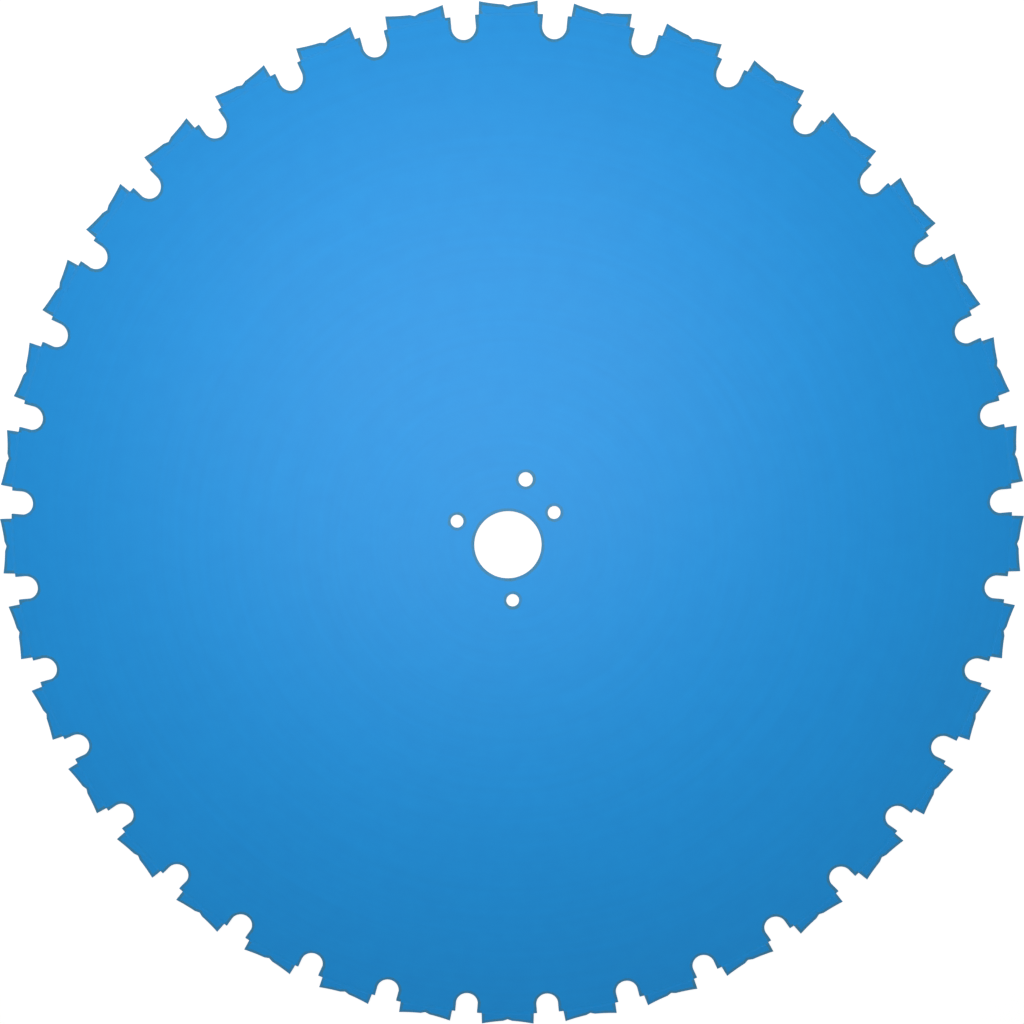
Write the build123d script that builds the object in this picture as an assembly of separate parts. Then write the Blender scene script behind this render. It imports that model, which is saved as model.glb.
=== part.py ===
"""A segmented diamond saw blade for wall and floor saws, lying flat.

A round steel core plate carries a ring of sintered diamond segments, each welded by its hollow foot
onto a land of the rim between two U-shaped gullets. The origin is the middle of the bore, half way
through the plate, and +Z is the axis that the blade spins about. Lengths are in millimetres, and
angles are in degrees, counter-clockwise from +X.
"""

from build123d import *
from math import asin, cos, degrees, radians, sin, tan
import os

# Core plate
core_diameter = 888.0
core_thickness = 3.6
bore_diameter = 60.0
bore_edge_break = 0.4

# Gullets, which open at the rim and part it into one land for each segment
segment_count = 36
gullet_width = 20.6
gullet_depth = 19.0

# Three holes for the bolts of the saw's flange, and one for a drive pin further out
flange_hole_count = 3
flange_hole_circle = 100.0
flange_hole_diameter = 11.5
flange_hole_angle = 35.0
drive_hole_circle = 120.0
drive_hole_diameter = 12.7
drive_hole_angle = 75.0
hole_edge_break = 0.3

# Bare shoulders of the land, ahead of and behind each segment as the blade turns, along the rim
leading_shoulder = 3.1
trailing_shoulder = 4.4

# Diamond segment: a block about 49 long, with leaning ends and a saddle-shaped roof with a V groove
segment_thickness = 4.8
segment_tip_height = 10.3
segment_lip_height = 6.9
segment_end_lean = 1.2
roof_hollow = 0.3
groove_width = 8.4
groove_depth = 1.6

# Places that follow from the sizes
rim_radius = core_diameter / 2
pitch_angle = 360 / segment_count
land_angle = pitch_angle - 2 * degrees(asin(gullet_width / 2 / rim_radius))
segment_angle = land_angle - degrees((leading_shoulder + trailing_shoulder) / rim_radius)
segment_shift = degrees((trailing_shoulder - leading_shoulder) / 2 / rim_radius)


def on_circle(diameter, angle):
    """A place on a circle about the blade's axis."""
    return Pos(diameter / 2 * cos(radians(angle)), diameter / 2 * sin(radians(angle)))


def gullet_outline():
    """The cut-out of one gullet on the +X axis: a half-round floor and straight flanks out past the rim."""
    floor_centre = rim_radius - gullet_depth + gullet_width / 2
    mouth = rim_radius + gullet_width
    floor = Pos(floor_centre, 0) * Circle(gullet_width / 2)
    flanks = Pos((floor_centre + mouth) / 2, 0) * Rectangle(mouth - floor_centre, gullet_width)
    return floor + flanks


def break_hole_edges(plate, hole_diameter, edge_break):
    """Chamfers both mouths of the plate's round holes of one diameter."""
    circles = plate.edges().filter_by(GeomType.CIRCLE)
    mouths = circles.filter_by(lambda edge: edge.is_closed and abs(edge.radius - hole_diameter / 2) < 1e-6)
    return chamfer(mouths, edge_break)


def core_plate():
    """The steel core: one flat plate with its bore, flange holes, drive hole and gullets."""
    outline = Circle(rim_radius) - Circle(bore_diameter / 2)
    for index in range(flange_hole_count):
        angle = flange_hole_angle + index * 360 / flange_hole_count
        outline -= on_circle(flange_hole_circle, angle) * Circle(flange_hole_diameter / 2)
    outline -= on_circle(drive_hole_circle, drive_hole_angle) * Circle(drive_hole_diameter / 2)
    for index in range(segment_count):
        outline -= Rot(0, 0, (index + 0.5) * pitch_angle) * gullet_outline()
    plate = extrude(outline, amount=core_thickness / 2, both=True)
    plate = break_hole_edges(plate, bore_diameter, bore_edge_break)
    plate = break_hole_edges(plate, flange_hole_diameter, hole_edge_break)
    return break_hole_edges(plate, drive_hole_diameter, hole_edge_break)


def segment_profile():
    """One segment seen along the blade's axis, standing on the rim across the +X axis."""
    half_foot = rim_radius * sin(radians(segment_angle / 2))
    foot = rim_radius * cos(radians(segment_angle / 2))
    tip = foot + segment_tip_height
    half_tip = half_foot - segment_tip_height * tan(radians(segment_end_lean))
    lip = rim_radius + segment_lip_height
    half_groove = groove_width / 2
    roof_middle = (tip + lip) / 2 - roof_hollow
    half_roof = (half_tip + half_groove) / 2
    with BuildSketch() as profile:
        with BuildLine():
            ThreePointArc((foot, -half_foot), (rim_radius, 0), (foot, half_foot))
            Line((foot, half_foot), (tip, half_tip))
            ThreePointArc((tip, half_tip), (roof_middle, half_roof), (lip, half_groove))
            Line((lip, half_groove), (lip - groove_depth, 0))
            Line((lip - groove_depth, 0), (lip, -half_groove))
            ThreePointArc((lip, -half_groove), (roof_middle, -half_roof), (tip, -half_tip))
            Line((tip, -half_tip), (foot, -half_foot))
        make_face()
    return profile.sketch


def main():
    os.makedirs("parts", exist_ok=True)
    export_step(core_plate(), "parts/core_plate.step")
    segment = extrude(segment_profile(), amount=segment_thickness / 2, both=True)
    for index in range(segment_count):
        place = Rot(0, 0, index * pitch_angle + segment_shift)
        export_step(place * segment, f"parts/segment_{index + 1:02d}.step")


main()
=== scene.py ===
"""The looks of a segmented diamond saw blade, lying flat on a white floor under soft light.

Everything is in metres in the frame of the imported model: the origin is the middle of the bore, half way
through the plate, and +Z is the axis that the blade spins about. Angles run counter-clockwise from +X.
"""

from math import asin, atan2, cos, hypot, pi, radians, sin, tan

import bmesh
import bpy
from mathutils import Matrix, Vector
from mathutils.geometry import delaunay_2d_cdt


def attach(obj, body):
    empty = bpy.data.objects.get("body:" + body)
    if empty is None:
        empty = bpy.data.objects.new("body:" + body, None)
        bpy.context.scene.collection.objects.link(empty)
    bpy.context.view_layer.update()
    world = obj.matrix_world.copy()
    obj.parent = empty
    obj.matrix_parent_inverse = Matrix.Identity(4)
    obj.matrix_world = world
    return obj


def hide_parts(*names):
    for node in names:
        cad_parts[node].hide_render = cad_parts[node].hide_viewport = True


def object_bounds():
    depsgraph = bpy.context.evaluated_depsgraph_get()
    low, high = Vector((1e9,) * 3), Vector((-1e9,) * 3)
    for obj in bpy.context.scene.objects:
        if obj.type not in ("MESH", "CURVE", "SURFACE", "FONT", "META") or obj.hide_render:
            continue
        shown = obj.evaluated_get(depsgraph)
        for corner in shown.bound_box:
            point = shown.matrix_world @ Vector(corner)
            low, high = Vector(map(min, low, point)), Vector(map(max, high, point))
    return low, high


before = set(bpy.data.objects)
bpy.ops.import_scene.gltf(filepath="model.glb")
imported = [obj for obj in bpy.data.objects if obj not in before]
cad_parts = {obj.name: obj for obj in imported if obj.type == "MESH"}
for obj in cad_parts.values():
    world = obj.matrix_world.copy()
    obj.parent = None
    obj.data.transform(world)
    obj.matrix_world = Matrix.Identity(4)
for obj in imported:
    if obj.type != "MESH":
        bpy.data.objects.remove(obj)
cad_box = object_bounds()


# The core plate: one sheet of hardened saw steel, laser cut to its round outline with 36 gullets, ground
# flat on both faces, with its bore and holes machined to size and chamfered. It is spray painted blue all
# over, and the enamel draws thin along its edges.
core_radius = 0.444
core_half = 0.0018
gullet_count = 36
gullet_radius = 0.0103
gullet_depth = 0.019
leading_shoulder = 0.0031
trailing_shoulder = 0.0044
cut_edge_round = 0.0002
bore_radius = 0.030
bore_chamfer = 0.0004
flange_circle = 0.050
flange_hole_radius = 0.00575
flange_hole_angles = (35.0, 155.0, 275.0)
drive_circle = 0.060
drive_hole_radius = 0.00635
drive_hole_angle = 75.0
hole_chamfer = 0.0003

# How finely it is drawn
gullet_steps = 26
land_steps = 8
bore_steps = 192
hole_steps = 72
cut_edge_steps = 2
sharp_angle = radians(30)

# Where the gullets and the segments come on the rim
pitch = 2 * pi / gullet_count
gullet_centre = core_radius - gullet_depth + gullet_radius
mouth_angle = asin(gullet_radius / core_radius)
segment_start = -pitch / 2 + mouth_angle + trailing_shoulder / core_radius
segment_end = pitch / 2 - mouth_angle - leading_shoulder / core_radius

# The thin paint: how wide its band along an edge is, how far it goes down the wall, and how thin it still
# is there. It fades where a segment's foot covers the rim, and the band of faces is narrower there.
thin_width = 0.0030
thin_wrap = 0.0006
thin_on_wall = 0.12
covered_fade = 0.0008
covered_share = 0.4

# The order of the finishes on a plate
on_faces, on_cut_walls, on_bore = range(3)


def core_outline():
    """The rim, counter-clockwise, as (x, y, bare edge): a land, then down a flank, round the floor and up.

    A land's edge is bare at its shoulders only, since the segment's foot covers the rest.
    """
    fade = covered_fade / core_radius
    covered_sweep = segment_end - segment_start - 2 * fade
    covered = [segment_start + fade + covered_sweep * step / land_steps for step in range(land_steps + 1)]
    land = [(-pitch / 2 + mouth_angle, 1.0), (segment_start, 1.0)]
    land += [(angle, 0.0) for angle in covered]
    land += [(segment_end, 1.0), (pitch / 2 - mouth_angle, 1.0)]
    points = []
    for index in range(gullet_count):
        for angle, bare in land:
            turned = angle + index * pitch
            points.append((core_radius * cos(turned), core_radius * sin(turned), bare))
        middle = (index + 0.5) * pitch
        for step in range(gullet_steps + 1):
            turn = -pi / 2 - pi * step / gullet_steps
            along = gullet_centre + gullet_radius * cos(turn)
            aside = gullet_radius * sin(turn)
            x = along * cos(middle) - aside * sin(middle)
            y = along * sin(middle) + aside * cos(middle)
            points.append((x, y, 1.0))
    return points


def round_hole(x, y, radius, count):
    """A hole's outline, clockwise, so that the steel lies on its left."""
    turns = [-2 * pi * step / count for step in range(count)]
    return [(x + radius * cos(turn), y + radius * sin(turn), 1.0) for turn in turns]


def over_edge(upper):
    """Rows over an edge from one face to the other, from those of its upper half."""
    return upper + [(inset, -height, thin) for inset, height, thin in reversed(upper)]


def broken_edge(half, edge_round, steps):
    """Rows over a slightly rounded edge, as (inset, height, how thin the paint is)."""
    upper = [(thin_width, half, 0.0)]
    for step in range(steps + 1):
        turn = pi / 2 * step / steps
        upper.append((edge_round * (1 - sin(turn)), half - edge_round * (1 - cos(turn)), 1.0))
    upper.append((0.0, half - edge_round - thin_wrap, thin_on_wall))
    return over_edge(upper)


def chamfered_edge(half, chamfer):
    """Rows over the edge of a machined hole, with a straight chamfer at each mouth."""
    return over_edge([(thin_width, half, 0.0), (chamfer, half, 1.0), (0.0, half - chamfer, 1.0)])


def mitres(points):
    """At each point of an outline, the way out of the steel, long enough for an even inset."""
    found = []
    for here, point in enumerate(points):
        before = points[here - 1]
        after = points[(here + 1) % len(points)]
        normals = []
        for a, b in ((before, point), (point, after)):
            length = hypot(b[0] - a[0], b[1] - a[1])
            normals.append(((b[1] - a[1]) / length, (a[0] - b[0]) / length))
        (ax, ay), (bx, by) = normals
        spread = 1 + ax * bx + ay * by
        found.append(((ax + bx) / spread, (ay + by) / spread))
    return found


def filled_between(places, rings, side):
    """Triangles between an outer ring of places and those of its holes, facing up for 1, down for -1."""
    inside_only, same_place = 1, 1e-9
    members = [index for ring in rings for index in ring]
    ring_of = [number for number, ring in enumerate(rings) for _ in ring]
    flat = [Vector(places[index][:2]) for index in members]
    edges, at = [], 0
    for ring in rings:
        edges += [(at + i, at + (i + 1) % len(ring)) for i in range(len(ring))]
        at += len(ring)
    filling = delaunay_2d_cdt(flat, edges, [], inside_only, same_place)
    origin = [sources[0] for sources in filling[3]]
    triangles = []
    for triangle in filling[2]:
        on_rings = {ring_of[origin[v]] for v in triangle}
        if len(on_rings) == 1 and 0 not in on_rings:
            continue  # it would close a hole
        corners = [members[origin[v]] for v in triangle]
        a, b, c = (places[v] for v in corners)
        if ((b[0] - a[0]) * (c[1] - a[1]) - (b[1] - a[1]) * (c[0] - a[0])) * side < 0:
            corners.reverse()
        triangles.append(tuple(corners))
    return triangles


def plate_mesh(name, loops):
    """A flat plate from closed outlines with rows over their edges, and its two faces filled in between.

    Each loop is an outline, its rows and the finish of its wall. The outer one comes first.
    """
    places, thinness, faces, finishes, upper_rings, lower_rings = [], [], [], [], [], []
    for points, rows, wall in loops:
        out = mitres(points)
        count = len(points)
        start = len(places)
        for inset, height, thin in rows:
            for (x, y, bare), (out_x, out_y) in zip(points, out):
                drawn_in = inset if bare else inset * covered_share
                places.append((x - out_x * drawn_in, y - out_y * drawn_in, height))
                thinness.append(thin * bare)
        for row in range(len(rows) - 1):
            in_wall = max(abs(rows[row][1]), abs(rows[row + 1][1])) < rows[0][1]
            here = start + row * count
            below = here + count
            for i in range(count):
                after = (i + 1) % count
                faces.append((here + i, below + i, below + after, here + after))
                finishes.append(wall if in_wall else on_faces)
        upper_rings.append(range(start, start + count))
        lower_rings.append(range(len(places) - count, len(places)))
    flat_faces = filled_between(places, upper_rings, 1) + filled_between(places, lower_rings, -1)
    mesh = bpy.data.meshes.new(name)
    mesh.from_pydata(places, [], faces + flat_faces)
    mesh.attributes.new("thin_paint_and_seam_shade", "FLOAT", "POINT").data.foreach_set("value", thinness)
    mesh.polygons.foreach_set("material_index", finishes + [on_faces] * len(flat_faces))
    mesh.shade_smooth()
    mesh.set_sharp_from_angle(angle=sharp_angle)
    return mesh


def node(tree, kind, links=(), **settings):
    """Adds one node: settings are its own values, links are (input, a socket or a constant)."""
    made = tree.nodes.new(kind)
    for key, value in settings.items():
        setattr(made, key, value)
    for socket, source in dict(links).items():
        if isinstance(source, bpy.types.NodeSocket):
            tree.links.new(source, made.inputs[socket])
        else:
            made.inputs[socket].default_value = source
    return made


def maths(tree, operation, *sources):
    """One Math node on up to three sockets or numbers, and its result."""
    return node(tree, "ShaderNodeMath", enumerate(sources), operation=operation).outputs[0]


def scaled(tree, value, factor, start=0.0):
    """A value times a factor, on top of a start."""
    return maths(tree, "MULTIPLY_ADD", value, factor, start)


def ramp(tree, value, low, high, start=0.0, end=1.0):
    """Runs from start to end while the value goes from low to high, and holds beyond them."""
    links = {"Value": value, "From Min": low, "From Max": high, "To Min": start, "To Max": end}
    return node(tree, "ShaderNodeMapRange", links).outputs[0]


def vector(tree, operation, *sources):
    """One Vector Math node on sockets or constants."""
    return node(tree, "ShaderNodeVectorMath", enumerate(sources), operation=operation)


def blend(tree, share, first, second):
    """From the first colour to the second: a Mix node's inputs 6 and 7, and its output 2."""
    made = node(tree, "ShaderNodeMix", {0: share}, data_type="RGBA")
    for socket, colour in ((6, first), (7, second)):
        if isinstance(colour, bpy.types.NodeSocket):
            tree.links.new(colour, made.inputs[socket])
        else:
            made.inputs[socket].default_value = (*colour, 1)
    return made.outputs[2]


def noise(tree, place, scale, detail):
    """A noise texture's grey value, centred on nought. Scale is in waves to the metre."""
    grey = node(tree, "ShaderNodeTexNoise", {"Vector": place, "Scale": scale, "Detail": detail}).outputs[0]
    return maths(tree, "SUBTRACT", grey, 0.5)


def raised(tree, height, depth, under=None):
    """A Bump node whose relief is depth metres, over another bump if there is one."""
    made = node(tree, "ShaderNodeBump", {"Height": height, "Strength": 1.0, "Distance": depth})
    if under:
        tree.links.new(under, made.inputs["Normal"])
    return made.outputs[0]


def off_axis(tree, place):
    """A place moved into the blade's middle plane, and its distance there from the spin axis."""
    flat = vector(tree, "MULTIPLY", place, (1, 1, 0)).outputs[0]
    return flat, vector(tree, "LENGTH", flat).outputs["Value"]


def about_axis(tree, where, radius_scale, height_scale=0.0):
    """Places for a pattern that runs round the spin axis: stretched along the turn, with no seam."""
    flat, radius = off_axis(tree, where)
    height = node(tree, "ShaderNodeSeparateXYZ", {0: where}).outputs["Z"]
    across = scaled(tree, radius, radius_scale, scaled(tree, height, height_scale))
    out = node(tree, "ShaderNodeCombineXYZ", {"Z": across}).outputs[0]
    return vector(tree, "ADD", vector(tree, "NORMALIZE", flat).outputs[0], out).outputs[0]


def new_material(name):
    """A material, its node tree, its shader, and the place on the piece that its patterns read."""
    material = bpy.data.materials.new(name)
    material.use_nodes = True
    tree = material.node_tree
    where = node(tree, "ShaderNodeTexCoord").outputs["Object"]
    return material, tree, tree.nodes["Principled BSDF"], where


# The enamel's colours, then its patterns: scales in waves to the metre, reliefs in metres, and the rest as
# shares of the colour or the roughness. Cut lines run down a wall, so their pattern is stretched that way.
deep_blue = (0.0004, 0.245, 0.648)
pale_blue = (0.0014, 0.272, 0.682)
dust_tone = (0.010, 0.110, 0.300)
# The dull tone of thin enamel along edges; the little of it laid over the weld seams is painted shade.
thin_paint_and_seam_shade_tone = (0.044, 0.164, 0.200)
dull_roughness, gloss_smoothing = 0.59, 0.2
ring_scale, ring_shade, ring_relief = 170.0, 0.09, 0.000012
cloud_scale, cloud_shade, cloud_dulling = 9.0, 0.06, 0.06
mottle_scale = 62.0
peel_scale, peel_relief = 420.0, 0.000018
nib_cells, nib_size, nib_cover = 12.0, 0.011, 0.3
cut_line_scale, cut_line_stretch, cut_line_relief = 1500.0, 0.06, 0.00010
grain_scale = 1900.0
ragged_scale, ragged_rise = 230.0, 6.0
speckle_scale, speckle_strength, mottle_strength = 900.0, 1.8, 1.5
thin_enough, thin_cover = 0.28, 0.57


def thin_paint_and_seam_shade_cover(tree, where, mottle):
    """How far the thin enamel lets the dull tone under it show: in ragged, speckled patches along edges,
    and a little over the weld seams, where it is painted shade along the segments' feet.
    """
    thin = node(tree, "ShaderNodeAttribute", attribute_name="thin_paint_and_seam_shade").outputs["Fac"]
    beside_edge = maths(tree, "MINIMUM", scaled(tree, thin, ragged_rise), 1.0)
    ragged = scaled(tree, noise(tree, where, ragged_scale, detail=4.0), beside_edge, thin)
    speckle = scaled(tree, noise(tree, where, speckle_scale, detail=4.0), speckle_strength)
    patches = scaled(tree, mottle, mottle_strength, speckle)
    reached = ramp(tree, ragged, 0.0, thin_enough)
    return maths(tree, "MULTIPLY", reached, scaled(tree, patches, thin_cover, thin_cover))


def blue_enamel(name, gloss=0.34, cut_lines=0.0, grain=0.0):
    """Sprayed blue enamel: rings of the grinding under it, soft mottling, orange peel and a few dust nibs.

    gloss is its specular level. cut_lines is the relief of the lines that laser cutting leaves on a wall,
    and grain that of the pores of sintered metal or a weld.
    """
    material, tree, shader, where = new_material(name)
    rings = noise(tree, about_axis(tree, where, ring_scale), scale=1.0, detail=5.0)
    cloud = noise(tree, where, cloud_scale, detail=2.0)
    mottle = noise(tree, where, mottle_scale, detail=3.0)
    peel = noise(tree, where, peel_scale, detail=2.0)

    paint = blend(tree, maths(tree, "ADD", mottle, 0.5), deep_blue, pale_blue)
    level = scaled(tree, rings, ring_shade, scaled(tree, cloud, cloud_shade, 1.0))
    toned = node(tree, "ShaderNodeVectorMath", {0: paint, "Scale": level}, operation="SCALE").outputs[0]
    cells = node(tree, "ShaderNodeTexVoronoi", {"Vector": where, "Scale": nib_cells})
    chance = node(tree, "ShaderNodeSeparateColor", {0: cells.outputs["Color"]}).outputs[0]
    in_nib = maths(tree, "LESS_THAN", cells.outputs["Distance"], scaled(tree, chance, nib_size))
    dusted = blend(tree, scaled(tree, in_nib, nib_cover), toned, dust_tone)
    colour = blend(tree, thin_paint_and_seam_shade_cover(tree, where, mottle), dusted, thin_paint_and_seam_shade_tone)
    tree.links.new(colour, shader.inputs["Base Color"])
    roughness = scaled(tree, cloud, cloud_dulling, dull_roughness - gloss_smoothing * gloss)
    tree.links.new(roughness, shader.inputs["Roughness"])
    shader.inputs["Specular IOR Level"].default_value = gloss

    relief = raised(tree, rings, ring_relief, raised(tree, peel, peel_relief))
    if cut_lines:
        down_wall = vector(tree, "MULTIPLY", where, (1, 1, cut_line_stretch)).outputs[0]
        relief = raised(tree, noise(tree, down_wall, cut_line_scale, detail=2.0), cut_lines, relief)
    if grain:
        relief = raised(tree, noise(tree, where, grain_scale, detail=4.0), grain, relief)
    tree.links.new(relief, shader.inputs["Normal"])
    return material


# The bore's bare steel, its turning marks, and the paint that drifted onto it from both faces. That paint
# is a darker blue than on the faces: painted shade inside the bore.
dark_steel = (0.24, 0.25, 0.26)
bright_steel = (0.40, 0.40, 0.40)
# The overspray's blue, darker than the enamel on the faces as painted shade in the bore.
overspray_blue_with_painted_shade = (0.020, 0.200, 0.450)
turning_scale, turning_lines, turning_relief = 900.0, 5200.0, 0.00002
spray_scale, spray_rise, spray_thinnest, spray_full = 210.0, 150.0, -0.03, 0.08
bare_metallic, painted_metallic = 1.0, 0.1
bare_roughness, painted_roughness = 0.32, 0.50


def turned_steel():
    """The bore's wall: steel turned to size, bare where the blade hung on its spindle to be sprayed."""
    material, tree, shader, where = new_material("turned bore steel")
    marks = noise(tree, about_axis(tree, where, turning_scale, turning_lines), scale=1.0, detail=2.0)
    height = maths(tree, "ABSOLUTE", node(tree, "ShaderNodeSeparateXYZ", {0: where}).outputs["Z"])
    spray = scaled(tree, height, spray_rise, noise(tree, where, spray_scale, detail=5.0))
    painted = ramp(tree, spray, spray_thinnest, spray_full)
    steel = blend(tree, maths(tree, "ADD", marks, 0.5), dark_steel, bright_steel)
    metallic = ramp(tree, painted, 0.0, 1.0, bare_metallic, painted_metallic)
    roughness = ramp(tree, painted, 0.0, 1.0, bare_roughness, painted_roughness)
    tree.links.new(blend(tree, painted, steel, overspray_blue_with_painted_shade), shader.inputs["Base Color"])
    tree.links.new(metallic, shader.inputs["Metallic"])
    tree.links.new(roughness, shader.inputs["Roughness"])
    tree.links.new(raised(tree, marks, turning_relief), shader.inputs["Normal"])
    return material


def new_object(name, data):
    """An object in the scene."""
    made = bpy.data.objects.new(name, data)
    bpy.context.scene.collection.objects.link(made)
    return made


def piece(mesh, name, nodes):
    """Puts a finished mesh into the scene in place of its CAD nodes."""
    made = new_object(name, mesh)
    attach(made, "root")
    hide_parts(*nodes)


core_loops = [(core_outline(), broken_edge(core_half, cut_edge_round, cut_edge_steps), on_cut_walls),
              (round_hole(0, 0, bore_radius, bore_steps), chamfered_edge(core_half, bore_chamfer), on_bore)]
small_holes = [(flange_circle, angle, flange_hole_radius) for angle in flange_hole_angles]
small_holes.append((drive_circle, drive_hole_angle, drive_hole_radius))
for circle, angle, radius in small_holes:
    hole = round_hole(circle * cos(radians(angle)), circle * sin(radians(angle)), radius, hole_steps)
    core_loops.append((hole, chamfered_edge(core_half, hole_chamfer), on_faces))
core_enamel = blue_enamel("blue enamel on ground steel")
wall_enamel = blue_enamel("blue enamel on laser-cut walls", cut_lines=cut_line_relief)
core_mesh = plate_mesh("painted core", core_loops)
for material in (core_enamel, wall_enamel, turned_steel()):
    core_mesh.materials.append(material)
piece(core_mesh, "painted_core", ["core_plate"])


# The segments: 36 blocks of diamond grit in sintered metal powder, each pressed with a saddle-shaped roof
# and a V groove so that it bites at once, and welded by its hollow foot onto a land of the core. They are
# a little thicker than the core, so that the core runs free in the cut, and painted over with it.
segment_count = gullet_count
segment_shift = (segment_start + segment_end) / 2
segment_half = 0.00230
segment_round = 0.00035
segment_unevenness = 0.012
segment_seed = 4
segment_grain = 0.00005
tip_rise = 0.01018
lip_rise = 0.00678
end_lean = radians(1.2)
roof_hollow = 0.0003
groove_half = 0.0042
groove_depth = 0.0016

# How finely it is drawn. The roof's steps and the foot's margin stay longer than the band of thin paint,
# since its inner border would fold at the sharp corners otherwise.
segment_round_steps = 3
roof_steps = 5
foot_steps = 12
foot_margin = 0.0036


def arc_through(start, middle, end, steps):
    """Points on the circle through three points, from just after the first up to the last."""
    (ax, ay), (bx, by), (cx, cy) = start, middle, end
    d = 2 * (ax * (by - cy) + bx * (cy - ay) + cx * (ay - by))
    a, b, c = ax * ax + ay * ay, bx * bx + by * by, cx * cx + cy * cy
    ux = (a * (by - cy) + b * (cy - ay) + c * (ay - by)) / d
    uy = (a * (cx - bx) + b * (ax - cx) + c * (bx - ax)) / d
    first, last = atan2(ay - uy, ax - ux), atan2(cy - uy, cx - ux)
    sweep = (last - first + pi) % (2 * pi) - pi
    radius = hypot(ax - ux, ay - uy)
    turns = [first + sweep * (step + 1) / steps for step in range(steps)]
    return [(ux + radius * cos(turn), uy + radius * sin(turn)) for turn in turns]


def segment_outline():
    """One segment on the +X axis, counter-clockwise, as (x, y, bare edge): its foot's edge isn't bare."""
    half_angle = (segment_end - segment_start) / 2
    foot, half_foot = core_radius * cos(half_angle), core_radius * sin(half_angle)
    tip, half_tip = foot + tip_rise, half_foot - tip_rise * tan(end_lean)
    lip = core_radius + lip_rise
    middle = ((tip + lip) / 2 - roof_hollow, (half_tip + groove_half) / 2)
    rise = arc_through((tip, -half_tip), (middle[0], -middle[1]), (lip, -groove_half), roof_steps)
    fall = arc_through((lip, groove_half), middle, (tip, half_tip), roof_steps)
    roof = [(tip, -half_tip)] + rise + [(lip - groove_depth, 0.0), (lip, groove_half)] + fall
    bare = [(foot, -half_foot, 1.0)] + [(x, y, 1.0) for x, y in roof] + [(foot, half_foot, 1.0)]
    first = half_angle - foot_margin / core_radius
    welded = [first - 2 * first * step / foot_steps for step in range(foot_steps + 1)]
    return bare + [(core_radius * cos(turn), core_radius * sin(turn), 0.0) for turn in welded]


def geometry_tree(name, **inputs):
    """An empty Geometry Nodes tree with a mesh going in and out, and its named inputs."""
    tree = bpy.data.node_groups.new(name, "GeometryNodeTree")
    tree.interface.new_socket("Geometry", in_out="INPUT", socket_type="NodeSocketGeometry")
    tree.interface.new_socket("Geometry", in_out="OUTPUT", socket_type="NodeSocketGeometry")
    for label, kind in inputs.items():
        tree.interface.new_socket(label, in_out="INPUT", socket_type="NodeSocket" + kind)
    return tree, node(tree, "NodeGroupInput").outputs


def around_the_rim(tree, one, count, shift):
    """Sets copies of one thing round the spin axis, a pitch apart."""
    points = node(tree, "GeometryNodePoints", {"Count": count}).outputs[0]
    index = node(tree, "GeometryNodeInputIndex").outputs[0]
    turn = scaled(tree, index, maths(tree, "DIVIDE", 2 * pi, count), shift)
    rotation = node(tree, "ShaderNodeCombineXYZ", {"Z": turn}).outputs[0]
    links = {"Points": points, "Instance": one, "Rotation": rotation}
    return node(tree, "GeometryNodeInstanceOnPoints", links).outputs[0]


def random_number(tree, low, high, seed):
    """A random number for each copy: a Random Value node's inputs 2 and 3, and its output 1."""
    links = {2: low, 3: high, "Seed": seed}
    return node(tree, "FunctionNodeRandomValue", links, data_type="FLOAT").outputs[1]


def finish_tree(tree, geometry, material):
    """Closes a tree: what it made becomes one plain mesh with its material."""
    whole = node(tree, "GeometryNodeRealizeInstances", {"Geometry": geometry}).outputs[0]
    painted = node(tree, "GeometryNodeSetMaterial", {"Geometry": whole, "Material": material}).outputs[0]
    node(tree, "NodeGroupOutput", {"Geometry": painted})


def grown(tree, mesh, **values):
    """Runs a tree on a mesh with values for its named inputs, and gives the plain mesh that comes out."""
    carrier = new_object(tree.name, mesh)
    modifier = carrier.modifiers.new(tree.name, "NODES")
    modifier.node_group = tree
    for socket in tree.interface.items_tree:
        if socket.in_out == "INPUT" and socket.name in values:
            modifier[socket.identifier] = values[socket.name]
    bpy.context.view_layer.update()
    shaped = carrier.evaluated_get(bpy.context.evaluated_depsgraph_get())
    made = bpy.data.meshes.new_from_object(shaped)
    made.name = tree.name
    carrier.modifiers.remove(modifier)
    bpy.data.objects.remove(carrier)
    return made


segment_enamel = blue_enamel("blue enamel on sintered metal", grain=segment_grain)
tree, given = geometry_tree("ring of segments", Count="Int", Shift="Float", Seed="Int", Unevenness="Float")
ring = around_the_rim(tree, given["Geometry"], given["Count"], given["Shift"])
thinnest = maths(tree, "SUBTRACT", 1.0, given["Unevenness"])
thickness = random_number(tree, thinnest, 1.0, given["Seed"])
stretch = node(tree, "ShaderNodeCombineXYZ", {"X": 1.0, "Y": 1.0, "Z": thickness}).outputs[0]
uneven = node(tree, "GeometryNodeScaleInstances", {"Instances": ring, "Scale": stretch}).outputs[0]
finish_tree(tree, uneven, segment_enamel)
segment_edge = broken_edge(segment_half, segment_round, segment_round_steps)
one_segment = plate_mesh("one segment", [(segment_outline(), segment_edge, on_faces)])
segments_mesh = grown(tree, one_segment, Count=segment_count, Shift=segment_shift, Seed=segment_seed,
                      Unevenness=segment_unevenness)
segment_nodes = [f"segment_{number:02d}" for number in range(1, segment_count + 1)]
piece(segments_mesh, "painted_segments", segment_nodes)


# The diamonds: crystals of about half a millimetre that stand a little out of the worn-in metal of each
# segment's faces, ends and roof, under the paint.
crystals_per_area = 3.0e5
crystal_radius = 0.00024
narrowest_crystal = 0.5
widest_crystal = 0.95
crystal_height_share = 0.18
crystal_sides = 4
crystal_rings = 2
crystal_seed = 11
foot_clearance = 0.0008

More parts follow.
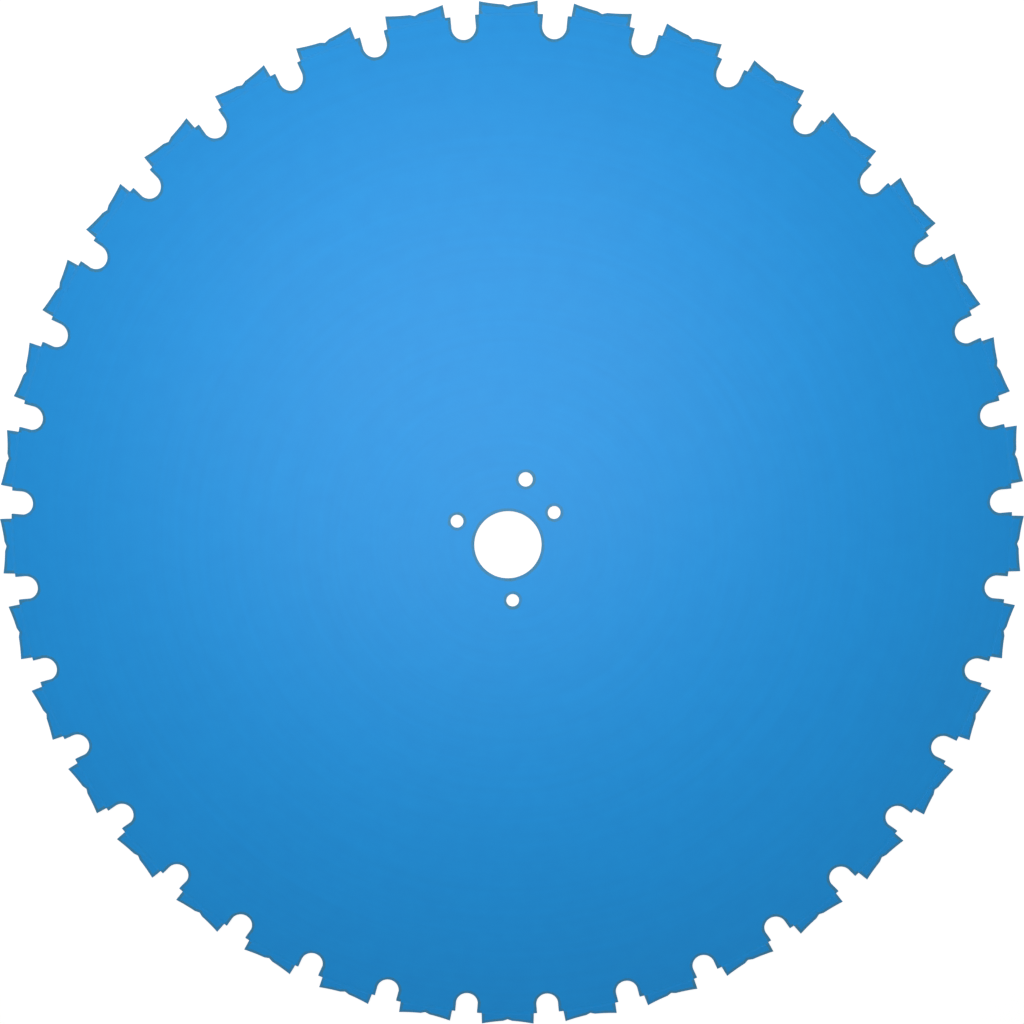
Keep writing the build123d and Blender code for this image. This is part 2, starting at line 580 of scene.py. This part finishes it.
tree, given = geometry_tree("diamond crystals", Density="Float", Size="Float", Seed="Int", Foot="Float")
radius = off_axis(tree, node(tree, "GeometryNodeInputPosition").outputs[0])[1]
above_foot = maths(tree, "GREATER_THAN", radius, given["Foot"])
spread = node(tree, "GeometryNodeDistributePointsOnFaces",
              {"Mesh": given["Geometry"], "Selection": above_foot, "Density": given["Density"],
               "Seed": given["Seed"]}).outputs
crystal = node(tree, "GeometryNodeMeshUVSphere",
               {"Segments": crystal_sides, "Rings": crystal_rings, "Radius": given["Size"]}).outputs[0]
width = random_number(tree, narrowest_crystal, widest_crystal, given["Seed"])
height = scaled(tree, width, crystal_height_share)
stretch = node(tree, "ShaderNodeCombineXYZ", {"X": width, "Y": width, "Z": height}).outputs[0]
grit = node(tree, "GeometryNodeInstanceOnPoints",
            {"Points": spread["Points"], "Instance": crystal, "Rotation": spread["Rotation"],
             "Scale": stretch}).outputs[0]
finish_tree(tree, grit, segment_enamel)
grit_mesh = grown(tree, segments_mesh, Density=crystals_per_area, Size=crystal_radius, Seed=crystal_seed,
                  Foot=core_radius + foot_clearance)
piece(grit_mesh, "diamond_grit", [])


# The weld seams: a laser weld along each segment's foot on both faces, which fills the corner between the
# thicker segment and the core with a low bead of overlapping ripples that runs out at both ends. Its
# section is in millimetres, out from the rim and up from the core's face, and its base is in the steel.
seam_section_mm = [(-2.6, -0.03), (-1.9, 0.03), (-1.2, 0.13), (-0.5, 0.26), (0.1, 0.38), (0.45, 0.43),
                   (0.45, -0.3), (-2.6, -0.3)]
seam_steps = 110
seam_runout = 0.035
seam_end_scale = 0.25
# How much of the dull thin-paint tone the seams get: painted shade along each segment's foot, not thinner
# paint.
seam_painted_shade = 0.03
seam_gloss = 0.25
seam_grain = 0.00003
ripple_length = 0.0018
ripple_height = 0.00002

tree, given = geometry_tree("weld seams", Runout="Float", Count="Int", Shift="Float", Rim="Float",
                            Sweep="Float", Steps="Int", Ripple="Float", Height="Float", Thin="Float")
path = node(tree, "GeometryNodeCurveArc",
            {"Resolution": given["Steps"], "Radius": given["Rim"],
             "Start Angle": scaled(tree, given["Sweep"], -0.5), "Sweep Angle": given["Sweep"]}).outputs[0]
section = node(tree, "GeometryNodeMeshToCurve", {"Mesh": given["Geometry"]}).outputs[0]
along = node(tree, "GeometryNodeSplineParameter").outputs["Factor"]
from_end = maths(tree, "MINIMUM", along, maths(tree, "SUBTRACT", 1.0, along))
taper = ramp(tree, from_end, 0.0, given["Runout"], start=seam_end_scale)
bead = node(tree, "GeometryNodeCurveToMesh",
            {"Curve": path, "Profile Curve": section, "Scale": taper, "Fill Caps": True}).outputs[0]
lifted = node(tree, "GeometryNodeTransform",
              {"Geometry": bead, "Translation": (0, 0, core_half)}).outputs[0]
parts = node(tree, "ShaderNodeSeparateXYZ", {0: node(tree, "GeometryNodeInputPosition").outputs[0]})
angle = maths(tree, "ARCTAN2", parts.outputs["Y"], parts.outputs["X"])
turns_along = maths(tree, "MULTIPLY", angle, maths(tree, "MULTIPLY", given["Rim"], 2 * pi))
phase = maths(tree, "DIVIDE", turns_along, given["Ripple"])
wave = maths(tree, "MULTIPLY", maths(tree, "SINE", phase), given["Height"])
push = node(tree, "ShaderNodeCombineXYZ", {"Z": wave}).outputs[0]
rippled = node(tree, "GeometryNodeSetPosition", {"Geometry": lifted, "Offset": push}).outputs[0]
under = node(tree, "GeometryNodeTransform", {"Geometry": rippled, "Rotation": (pi, 0, 0)}).outputs[0]
both = node(tree, "GeometryNodeJoinGeometry")
tree.links.new(rippled, both.inputs[0])
tree.links.new(under, both.inputs[0])
# Marks the seams for a little of the dull tone, as painted shade along the segments' feet.
seam_with_painted_shade = node(tree, "GeometryNodeStoreNamedAttribute",
               {"Geometry": both.outputs[0], "Name": "thin_paint_and_seam_shade", "Value": given["Thin"]},
               data_type="FLOAT").outputs[0]
seam_enamel = blue_enamel("blue enamel on the weld", gloss=seam_gloss, grain=seam_grain)
finish_tree(tree, around_the_rim(tree, seam_with_painted_shade, given["Count"], given["Shift"]), seam_enamel)

# The tree lays a section's y downwards, so the heights change sign
section_places = [(out / 1000, -up / 1000, 0) for out, up in seam_section_mm]
section_edges = [(i, (i + 1) % len(section_places)) for i in range(len(section_places))]
section_mesh = bpy.data.meshes.new("section of a seam")
section_mesh.from_pydata(section_places, section_edges, [])
seam_mesh = grown(tree, section_mesh, Runout=seam_runout, Count=segment_count, Shift=segment_shift,
                  Rim=core_radius, Sweep=segment_end - segment_start, Steps=seam_steps,
                  Ripple=ripple_length, Height=ripple_height, Thin=seam_painted_shade)
shell = bmesh.new()
shell.from_mesh(seam_mesh)
bmesh.ops.recalc_face_normals(shell, faces=shell.faces)
shell.to_mesh(seam_mesh)
shell.free()
seam_mesh.set_sharp_from_angle(angle=sharp_angle)
piece(seam_mesh, "weld_seams", [])


# The floor: a wide white board that the blade lies on, with its upper side at the segments' lower faces.
# The camera sees it as white paper with the blade's own thin shadow on it, which is gone further out.
floor_level = cad_box[0][2]
floor_half = 20.0
floor_white = (0.86, 0.86, 0.86, 1)
shadow_grey = (0.30, 0.30, 0.30, 1)
paper_white = (1, 1, 1, 1)
glow_over_shadow = 0.83
shadow_fades_from = 0.55
shadow_gone_at = 0.95


def seen_directly(tree):
    """1 for what the camera sees, mirrored or through glass too, and 0 for what only gives light."""
    rays = node(tree, "ShaderNodeLightPath").outputs
    seen = maths(tree, "MAXIMUM", rays["Is Camera Ray"], rays["Is Glossy Ray"])
    return maths(tree, "MAXIMUM", seen, rays["Is Transmission Ray"])


floor_corners = [(x * floor_half, y * floor_half, floor_level)
                 for x, y in ((-1, -1), (1, -1), (1, 1), (-1, 1))]
floor_mesh = bpy.data.meshes.new("white floor")
floor_mesh.from_pydata(floor_corners, [], [(0, 1, 2, 3)])
white_floor = new_object("white_floor", floor_mesh)
floor_paint, tree, spare_shader, where = new_material("white floor paint")
tree.nodes.remove(spare_shader)
floor_mesh.materials.append(floor_paint)
matt = node(tree, "ShaderNodeBsdfDiffuse", {"Color": floor_white})
faint = node(tree, "ShaderNodeBsdfDiffuse", {"Color": shadow_grey})
glow = node(tree, "ShaderNodeEmission", {"Color": paper_white, "Strength": glow_over_shadow})
shadowed = node(tree, "ShaderNodeAddShader", {0: faint.outputs[0], 1: glow.outputs[0]})
paper = node(tree, "ShaderNodeEmission", {"Color": paper_white, "Strength": 1.0})
from_blade = vector(tree, "LENGTH", where).outputs["Value"]
far = ramp(tree, from_blade, shadow_fades_from, shadow_gone_at)
board = node(tree, "ShaderNodeMixShader", {0: far, 1: shadowed.outputs[0], 2: paper.outputs[0]})
shown = node(tree, "ShaderNodeMixShader", {0: seen_directly(tree), 1: matt.outputs[0], 2: board.outputs[0]})
tree.links.new(shown.outputs[0], tree.nodes["Material Output"].inputs["Surface"])


# The light: one large round soft box above and a little beyond the blade's middle, and a pale room that
# fills its shadows and shows as white behind the floor.
soft_box_place = Vector((-0.047, 0.200, 0.750))
soft_box_aim = Vector((0.0, 0.05, 0.0))
soft_box_width = 0.92
soft_box_power = 6.5
room_white = (1, 1, 1, 1)
room_fill = 0.28

soft_box_light = bpy.data.lights.new("soft box", "AREA")
soft_box_light.shape = "DISK"
soft_box_light.size = soft_box_width
soft_box_light.energy = soft_box_power
soft_box = new_object("soft_box", soft_box_light)
soft_box.location = soft_box_place
soft_box.rotation_euler = (soft_box_aim - soft_box_place).to_track_quat("-Z", "Y").to_euler()
room = bpy.data.worlds.new("pale room")
bpy.context.scene.world = room
room.use_nodes = True
tree = room.node_tree
strength = ramp(tree, seen_directly(tree), 0.0, 1.0, start=room_fill)
tree.nodes["Background"].inputs["Color"].default_value = room_white
tree.links.new(strength, tree.nodes["Background"].inputs["Strength"])


# The camera: close above the blade, as the photograph was taken, a few degrees off the spin axis. A small
# shift frames the whole rim as the photograph does.
camera_place = Vector((-0.01879, 0.04997, 0.75722))
camera_aim = Vector((-0.02845, -0.03133, 0.0016))
camera_roll = radians(0.1146)

camera_data = bpy.data.cameras.new("camera")
camera_data.lens = 29.883
camera_data.sensor_width = 36.0
camera_data.shift_x = 0.03508
camera_data.shift_y = 0.06639
camera_data.clip_start = 0.01
camera_data.clip_end = 100.0
camera = new_object("camera", camera_data)
forward = (camera_aim - camera_place).normalized()
level_right = forward.cross(Vector((0, 1, 0))).normalized()
level_up = level_right.cross(forward)
up = level_up * cos(camera_roll) + forward.cross(level_up) * sin(camera_roll)
right = forward.cross(up)
turn = Matrix((right, up, -forward)).transposed().to_4x4()
camera.matrix_world = Matrix.Translation(camera_place) @ turn
bpy.context.scene.camera = camera
bpy.context.scene.view_settings.view_transform = "Standard"
